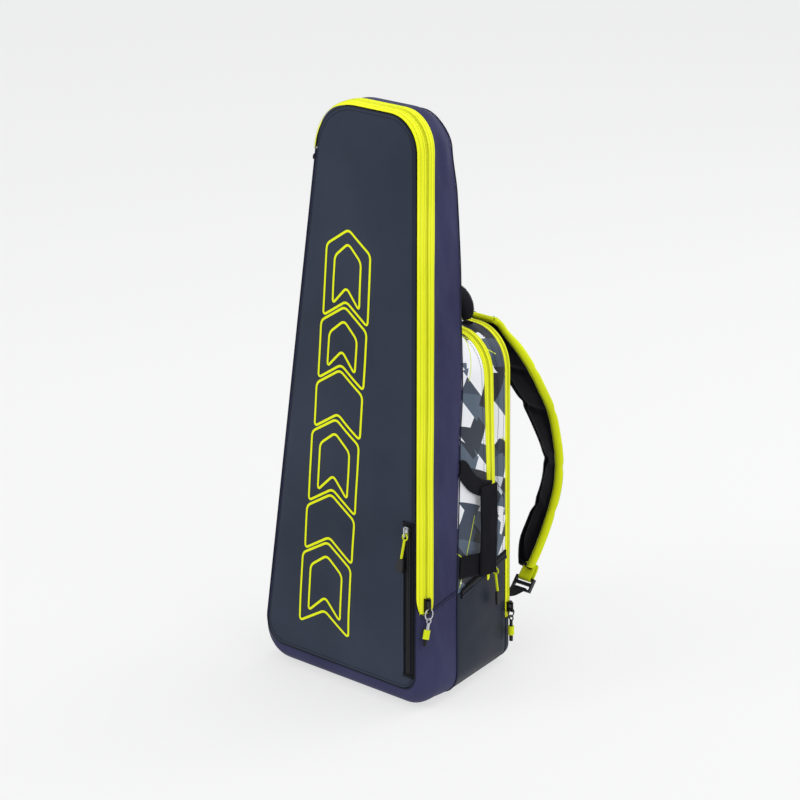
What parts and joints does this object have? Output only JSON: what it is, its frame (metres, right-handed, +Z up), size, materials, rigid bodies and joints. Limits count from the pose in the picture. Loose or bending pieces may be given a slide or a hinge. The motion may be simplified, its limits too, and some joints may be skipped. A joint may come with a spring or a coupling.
{
  "type": "racket tournament bag",
  "caption": "Tall tapered racket compartment with a shorter backpack body behind it, zip bands, padded shoulder straps, top handle and side handle.",
  "frame": {"origin": "on the base, under the racket compartment's rear wall, midway between the sides", "axes": "+Z up, the front panel faces -Y, the side handle is on +X"},
  "size_m": [0.2907, 0.3487, 0.7709],
  "materials": {
    "black_mesh": "foam under mesh cloth",
    "black_metal": "black enamel",
    "black_rubber": "moulded",
    "black_tape": "woven zip tape",
    "black_webbing": "woven webbing",
    "board": "stiffening board",
    "coated_slate": "coated polyester, satin",
    "grey_plastic": "moulded acetal",
    "lime_cord": "braided cord",
    "lime_tape": "woven zip tape",
    "lining": "plain lining cloth",
    "navy_cloth": "plain woven polyester",
    "nickel": "bright nickel",
    "printed_cloth": "coated polyester with a facet print"
  },
  "bodies": {
    "root": {"base_board": "board", "compartment_divider": "lining", "divider_panel": "navy_cloth", "front_panel_lower": "coated_slate", "laptop_sleeve": "lining", "main_zip_tape": "lime_tape", "pack_bottom": "coated_slate", "pack_front_shell": "printed_cloth", "pack_middle_gusset": "printed_cloth", "pack_side_panel_left": "coated_slate", "pack_side_panel_right": "coated_slate", "pack_zip_coils": "lime_tape", "pocket_liner": "lining", "pocket_zip_coil": "black_tape", "pocket_zip_tape": "black_tape", "racket_gusset_base": "navy_cloth", "racket_gusset_left": "navy_cloth", "racket_gusset_right": "navy_cloth", "racket_gusset_top": "navy_cloth", "racket_zip_coil_body": "lime_tape", "racket_zip_tape_body": "lime_tape", "racket_zip_tape_lower": "lime_tape", "rear_zip_tape_body": "lime_tape", "side_pocket_zip": "black_tape", "top_handle_tabs": "black_webbing"},
    "front_flap": {"front_panel_flap": "coated_slate", "racket_zip_tape_flap": "lime_tape", "racket_zip_coil_flap": "lime_tape"},
    "racket_slider": {"racket_slider": "black_metal"},
    "racket_ring": {"racket_pull_ring": "nickel"},
    "racket_hook": {"racket_pull_hook": "nickel", "racket_pull_sleeve": "lime_cord", "racket_pull_tip": "nickel"},
    "pocket_slider": {"pocket_slider": "nickel"},
    "pocket_pull": {"pocket_pull_cord": "lime_cord", "pocket_pull_tab": "black_rubber"},
    "side_slider": {"side_slider": "nickel"},
    "side_pull": {"side_pull_cord": "lime_cord", "side_pull_tab": "black_rubber"},
    "main_slider": {"main_slider": "black_metal"},
    "main_pull": {"main_pull": "lime_cord"},
    "rear_slider": {"rear_slider": "black_metal"},
    "rear_ring": {"rear_pull_ring": "black_metal"},
    "rear_hook": {"rear_pull_hook": "black_metal", "rear_pull_sleeve": "lime_cord", "rear_pull_tip": "nickel"},
    "back_panel": {"back_board": "board", "back_pads": "black_mesh", "rear_zip_tape_panel": "lime_tape", "strap_anchors": "black_webbing"},
    "strap_right": {"strap_pad_right": "black_mesh", "strap_loop_right": "lime_tape", "ladder_lock_right": "grey_plastic", "lower_webbing_right": "black_webbing"},
    "strap_left": {"strap_pad_left": "black_mesh", "strap_loop_left": "lime_tape", "ladder_lock_left": "grey_plastic", "lower_webbing_left": "black_webbing"},
    "top_handle": {"top_handle": "black_mesh"},
    "side_handle": {"side_handle": "black_webbing"}
  },
  "joints": [
    {"name": "flap_fold", "type": "hinge", "parent": "root", "child": "front_flap", "pos_m": [0.01614, -0.07047, 0.48], "axis": [0.4472, -0.0826, -0.8906], "range_deg": [0, 110]},
    {"name": "racket_slider_run", "type": "slide", "parent": "root", "child": "racket_slider", "axis": [-0.0735, 0.0921, 0.993], "range_m": [0, 0.5]},
    {"name": "racket_ring_swing", "type": "hinge", "parent": "racket_slider", "child": "racket_ring", "pos_m": [0.14164, -0.08779, 0.13754], "axis": [-0.0068, -0.9957, 0.0919], "range_deg": [0, 140]},
    {"name": "racket_hook_swing", "type": "hinge", "parent": "racket_ring", "child": "racket_hook", "pos_m": [0.14267, -0.08908, 0.12363], "axis": [-0.0068, -0.9957, 0.0919], "range_deg": [0, 60]},
    {"name": "pocket_slider_run", "type": "slide", "parent": "root", "child": "pocket_slider", "axis": [0.0735, -0.0921, -0.993], "range_m": [0, 0.17]},
    {"name": "pocket_pull_swing", "type": "hinge", "parent": "pocket_slider", "child": "pocket_pull", "pos_m": [0.11251, -0.09996, 0.23686], "axis": [-0.9973, -0.0068, -0.0732], "range_deg": [0, 140]},
    {"name": "side_slider_run", "type": "slide", "parent": "root", "child": "side_slider", "axis": [-0.1793, 0.9699, 0.1649], "range_m": [-0.055, 0.03]},
    {"name": "side_pull_swing", "type": "hinge", "parent": "side_slider", "child": "side_pull", "pos_m": [0.12915, 0.05155, 0.1485], "axis": [0.1793, -0.9699, -0.1649], "range_deg": [0, 60]},
    {"name": "main_slider_run", "type": "slide", "parent": "root", "child": "main_slider", "axis": [0, 0, 1], "range_m": [0, 0.19]},
    {"name": "main_pull_swing", "type": "hinge", "parent": "main_slider", "child": "main_pull", "pos_m": [-0.12525, 0.06, 0.1622], "axis": [0, 1, 0], "range_deg": [0, 140]},
    {"name": "rear_slider_run", "type": "slide", "parent": "root", "child": "rear_slider", "axis": [0, 0, 1], "range_m": [0, 0.3]},
    {"name": "rear_ring_swing", "type": "hinge", "parent": "rear_slider", "child": "rear_ring", "pos_m": [0.11875, 0.0985, 0.0745], "axis": [0, -1, 0], "range_deg": [0, 115]},
    {"name": "rear_hook_swing", "type": "hinge", "parent": "rear_ring", "child": "rear_hook", "pos_m": [0.11875, 0.0985, 0.0635], "axis": [0, -1, 0], "range_deg": [0, 40]},
    {"name": "back_panel_fold", "type": "hinge", "parent": "root", "child": "back_panel", "pos_m": [0, 0.103, 0.062], "axis": [-1, 0, 0], "range_deg": [0, 35]},
    {"name": "strap_right_swing", "type": "hinge", "parent": "back_panel", "child": "strap_right", "pos_m": [0.054, 0.119, 0.447], "axis": [-0.1237, -0.0005, 0.9923], "range_deg": [-15, 20], "stiffness_Nm_per_rad": 0.6},
    {"name": "strap_left_swing", "type": "hinge", "parent": "back_panel", "child": "strap_left", "pos_m": [-0.054, 0.119, 0.447], "axis": [-0.1237, 0.0005, -0.9923], "range_deg": [-15, 20], "stiffness_Nm_per_rad": 0.6},
    {"name": "top_handle_rock", "type": "hinge", "parent": "root", "child": "top_handle", "pos_m": [0, 0.081, 0.4706], "axis": [1, 0, 0], "range_deg": [-30, 30], "stiffness_Nm_per_rad": 0.3},
    {"name": "side_handle_swing", "type": "hinge", "parent": "root", "child": "side_handle", "pos_m": [0.13395, -0.02353, 0.156], "axis": [0.0735, -0.0921, -0.993], "range_deg": [0, 70], "stiffness_Nm_per_rad": 0.1}
  ]
}
